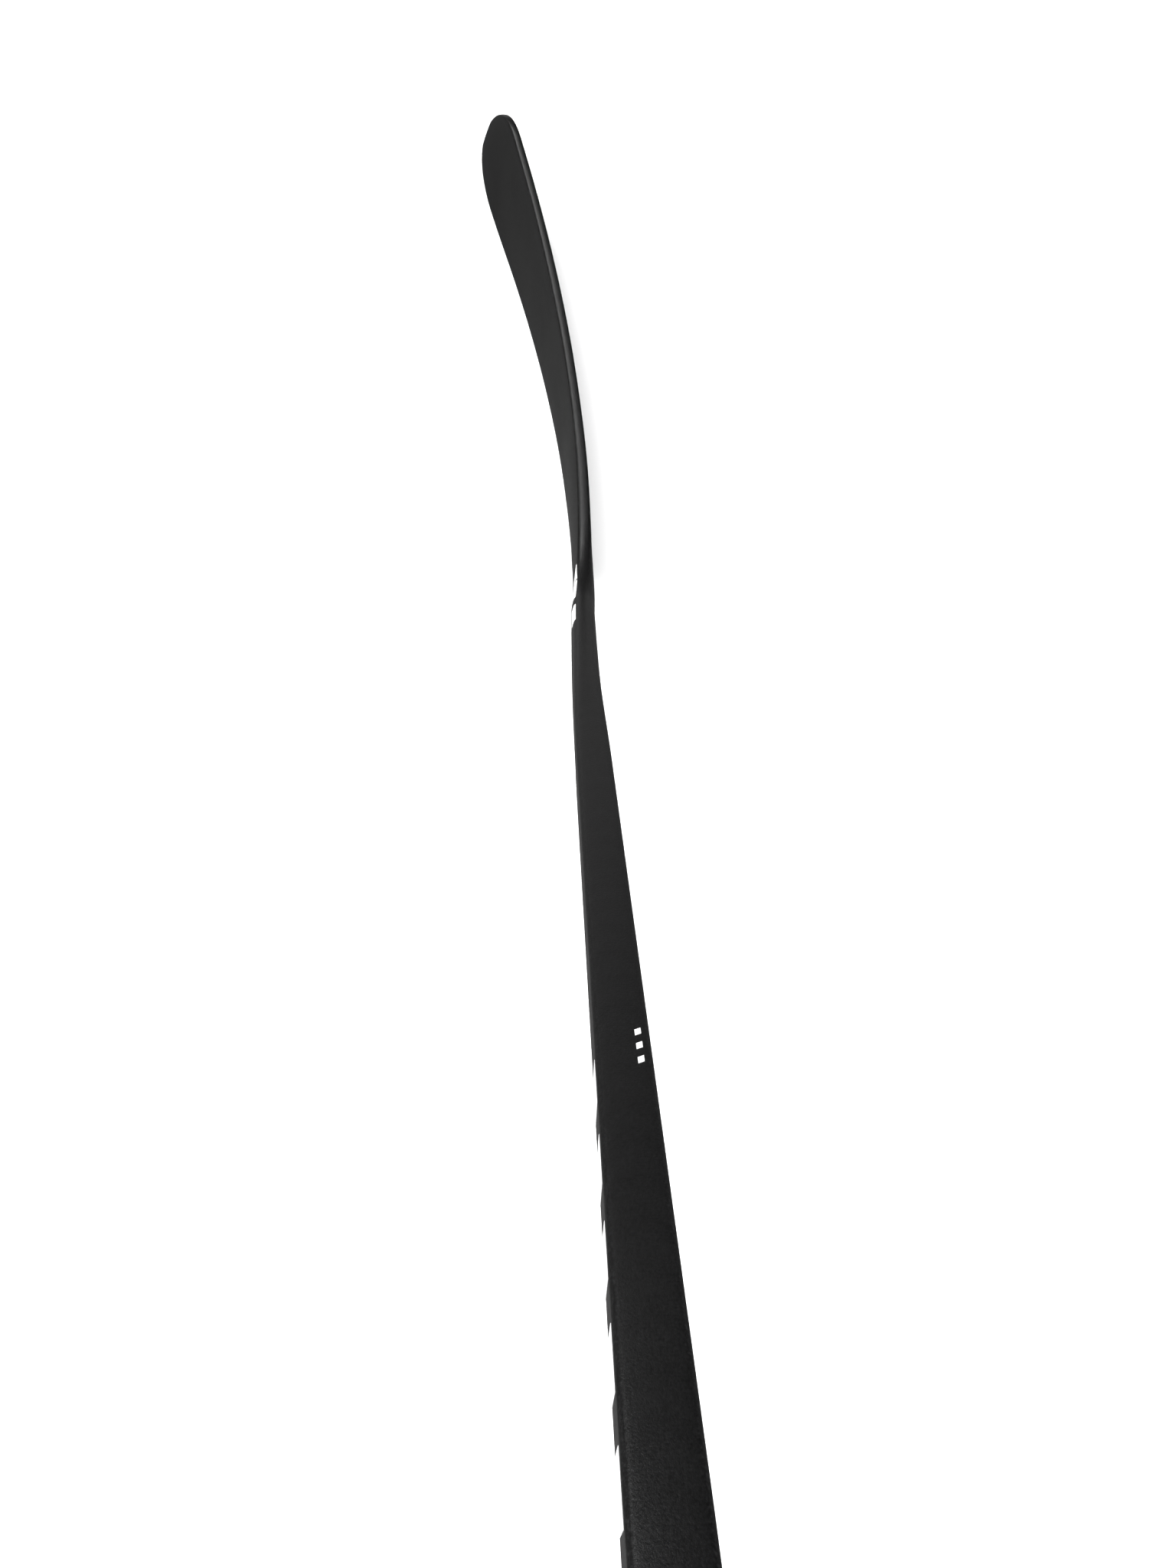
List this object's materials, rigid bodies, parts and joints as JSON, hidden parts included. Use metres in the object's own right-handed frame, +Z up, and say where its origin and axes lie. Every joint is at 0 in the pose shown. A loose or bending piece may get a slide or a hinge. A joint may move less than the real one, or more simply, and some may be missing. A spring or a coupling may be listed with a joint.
{
  "type": "ice hockey stick",
  "caption": "Right-handed composite ice hockey stick: hollow rectangular shaft that tapers into a curved, open-faced blade, with end cap and plain printed bars.",
  "frame": {"origin": "the lie point, where the axis of the straight shaft meets the ice, with the blade's sole flat on the ice", "axes": "+X along the ice towards the toe, +Y towards the forehand side, +Z up from the ice; the shaft rises towards -X at 47 degrees"},
  "size_m": [1.3438, 0.0674, 1.1221],
  "materials": {
    "black_lacquer": "satin black lacquer over woven and unidirectional carbon laminate",
    "raw_carbon": "uncoated carbon and epoxy, matt",
    "core_foam": "rigid closed-cell foam, fine pores",
    "toe_damper": "dense damping compound",
    "epoxy": "cured structural adhesive",
    "hot_melt": "hot-melt adhesive",
    "cap_plastic": "moulded matt plastic",
    "white_ink": "matt white printed film under clear coat"
  },
  "bodies": {
    "root": {"shaft_tube": "black_lacquer", "end_cap": "cap_plastic", "end_cap_glue": "hot_melt", "foam_stop": "core_foam", "joint_wrap": "black_lacquer", "joint_tenon": "raw_carbon", "tenon_bond": "epoxy", "blade_forehand_skin": "black_lacquer", "blade_backhand_skin": "black_lacquer", "top_edge_tow": "raw_carbon", "sole_edge_tow": "raw_carbon", "neck_core": "core_foam", "upper_blade_core": "core_foam", "lower_blade_core": "core_foam", "blade_rib": "raw_carbon", "toe_insert": "toe_damper", "forehand_print": "white_ink", "backhand_print": "white_ink", "toe_side_print": "white_ink", "neck_print": "white_ink"}
  },
  "joints": []
}
